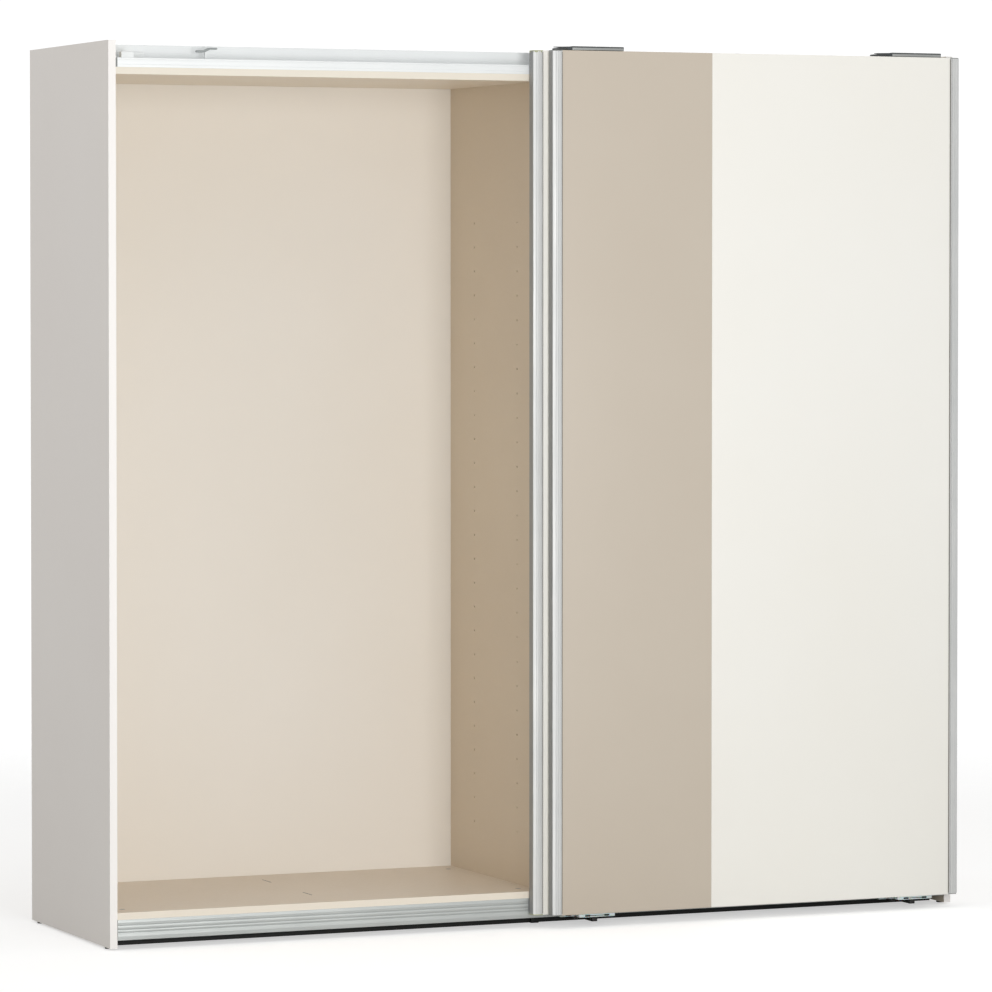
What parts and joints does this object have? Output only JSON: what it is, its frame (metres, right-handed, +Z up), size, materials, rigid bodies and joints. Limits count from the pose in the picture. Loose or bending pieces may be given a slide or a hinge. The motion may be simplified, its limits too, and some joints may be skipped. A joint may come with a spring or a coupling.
{
  "type": "sliding door wardrobe",
  "caption": "Wardrobe with a two-compartment carcass and sliding doors with white and taupe panels that hang in front of it from a top rail.",
  "frame": {"origin": "on the floor, at the middle of the width and of the whole depth, doors included", "axes": "+X to the right as seen from the front, +Y from the front to the back, +Z up"},
  "size_m": [2.2, 0.64, 2.104],
  "materials": {
    "outer_board": "smooth white melamine",
    "inner_board": "smooth cream melamine",
    "back_board": "cream printed hardboard",
    "plinth_board": "matt black",
    "white_front": "satin white lacquer",
    "taupe_front": "satin taupe lacquer",
    "rail_aluminium": "satin anodised",
    "stile_aluminium": "satin anodised",
    "steel": "zinc plated",
    "cam_metal": "die-cast zinc",
    "dowel_wood": "plain beech",
    "foot_plastic": "matt",
    "stop_rubber": "matt",
    "catch_plastic": "matt",
    "cap_plastic": "matt",
    "carrier_metal": "dark grey enamel",
    "guide_plastic": "pale and slightly translucent",
    "wheel_nylon": "matt nylon",
    "brush_pile": "short bristles"
  },
  "bodies": {
    "carcass": {"left_side_panel": "outer_board", "right_side_panel": "outer_board", "centre_partition": "inner_board", "left_top_panel": "inner_board", "right_top_panel": "inner_board", "left_bottom_panel": "inner_board", "right_bottom_panel": "inner_board", "left_back_panel": "back_board", "right_back_panel": "back_board", "left_plinth": "plinth_board", "right_plinth": "plinth_board", "support_feet": "foot_plastic", "floor_glides": "foot_plastic", "cam_locks": "cam_metal", "cam_bolts": "steel", "wood_dowels": "dowel_wood", "back_panel_screws": "steel", "top_rail": "rail_aluminium", "bottom_rail": "rail_aluminium", "top_rail_screws": "steel", "bottom_rail_screws": "steel", "inner_track_stops": "stop_rubber", "outer_track_stops": "stop_rubber", "soft_close_catches": "catch_plastic"},
    "left_door": {"left_door_white_panel": "white_front", "left_door_taupe_panel": "taupe_front", "left_door_joint_strip": "rail_aluminium", "left_door_left_stile": "stile_aluminium", "left_door_right_stile": "stile_aluminium", "left_door_stile_end_caps": "cap_plastic", "left_door_roller_carriers": "carrier_metal", "left_door_wheel_axles": "steel", "left_door_bottom_guides": "guide_plastic", "left_door_screws": "steel", "left_door_dust_brush": "brush_pile"},
    "right_door": {"right_door_white_panel": "white_front", "right_door_taupe_panel": "taupe_front", "right_door_joint_strip": "rail_aluminium", "right_door_left_stile": "stile_aluminium", "right_door_right_stile": "stile_aluminium", "right_door_stile_end_caps": "cap_plastic", "right_door_roller_carriers": "carrier_metal", "right_door_wheel_axles": "steel", "right_door_bottom_guides": "guide_plastic", "right_door_screws": "steel", "right_door_dust_brush": "brush_pile"},
    "left_door_wheel_1": {"left_door_wheel_1": "wheel_nylon"},
    "left_door_wheel_2": {"left_door_wheel_2": "wheel_nylon"},
    "left_door_wheel_3": {"left_door_wheel_3": "wheel_nylon"},
    "left_door_wheel_4": {"left_door_wheel_4": "wheel_nylon"},
    "right_door_wheel_1": {"right_door_wheel_1": "wheel_nylon"},
    "right_door_wheel_2": {"right_door_wheel_2": "wheel_nylon"},
    "right_door_wheel_3": {"right_door_wheel_3": "wheel_nylon"},
    "right_door_wheel_4": {"right_door_wheel_4": "wheel_nylon"}
  },
  "joints": [
    {"name": "left_door_slide", "type": "slide", "parent": "carcass", "child": "left_door", "axis": [1, 0, 0], "range_m": [-1.041, 0]},
    {"name": "right_door_slide", "type": "slide", "parent": "carcass", "child": "right_door", "axis": [1, 0, 0], "range_m": [-1.041, 0]},
    {"name": "left_door_wheel_1_spin", "type": "hinge", "parent": "left_door", "child": "left_door_wheel_1", "pos_m": [0.033, -0.244, 2.0693], "axis": [0, 1, 0], "continuous": true},
    {"name": "left_door_wheel_2_spin", "type": "hinge", "parent": "left_door", "child": "left_door_wheel_2", "pos_m": [0.113, -0.244, 2.0693], "axis": [0, 1, 0], "continuous": true},
    {"name": "left_door_wheel_3_spin", "type": "hinge", "parent": "left_door", "child": "left_door_wheel_3", "pos_m": [0.891, -0.244, 2.0693], "axis": [0, 1, 0], "continuous": true},
    {"name": "left_door_wheel_4_spin", "type": "hinge", "parent": "left_door", "child": "left_door_wheel_4", "pos_m": [0.971, -0.244, 2.0693], "axis": [0, 1, 0], "continuous": true},
    {"name": "right_door_wheel_1_spin", "type": "hinge", "parent": "right_door", "child": "right_door_wheel_1", "pos_m": [0.07, -0.214, 2.0693], "axis": [0, 1, 0], "continuous": true},
    {"name": "right_door_wheel_2_spin", "type": "hinge", "parent": "right_door", "child": "right_door_wheel_2", "pos_m": [0.15, -0.214, 2.0693], "axis": [0, 1, 0], "continuous": true},
    {"name": "right_door_wheel_3_spin", "type": "hinge", "parent": "right_door", "child": "right_door_wheel_3", "pos_m": [0.928, -0.214, 2.0693], "axis": [0, 1, 0], "continuous": true},
    {"name": "right_door_wheel_4_spin", "type": "hinge", "parent": "right_door", "child": "right_door_wheel_4", "pos_m": [1.008, -0.214, 2.0693], "axis": [0, 1, 0], "continuous": true}
  ],
  "couplings": [
    {"joint": "left_door_wheel_1_spin", "follows": "left_door_slide", "rad_per_m": 76.923},
    {"joint": "left_door_wheel_2_spin", "follows": "left_door_slide", "rad_per_m": 76.923},
    {"joint": "left_door_wheel_3_spin", "follows": "left_door_slide", "rad_per_m": 76.923},
    {"joint": "left_door_wheel_4_spin", "follows": "left_door_slide", "rad_per_m": 76.923},
    {"joint": "right_door_wheel_1_spin", "follows": "right_door_slide", "rad_per_m": 76.923},
    {"joint": "right_door_wheel_2_spin", "follows": "right_door_slide", "rad_per_m": 76.923},
    {"joint": "right_door_wheel_3_spin", "follows": "right_door_slide", "rad_per_m": 76.923},
    {"joint": "right_door_wheel_4_spin", "follows": "right_door_slide", "rad_per_m": 76.923}
  ]
}
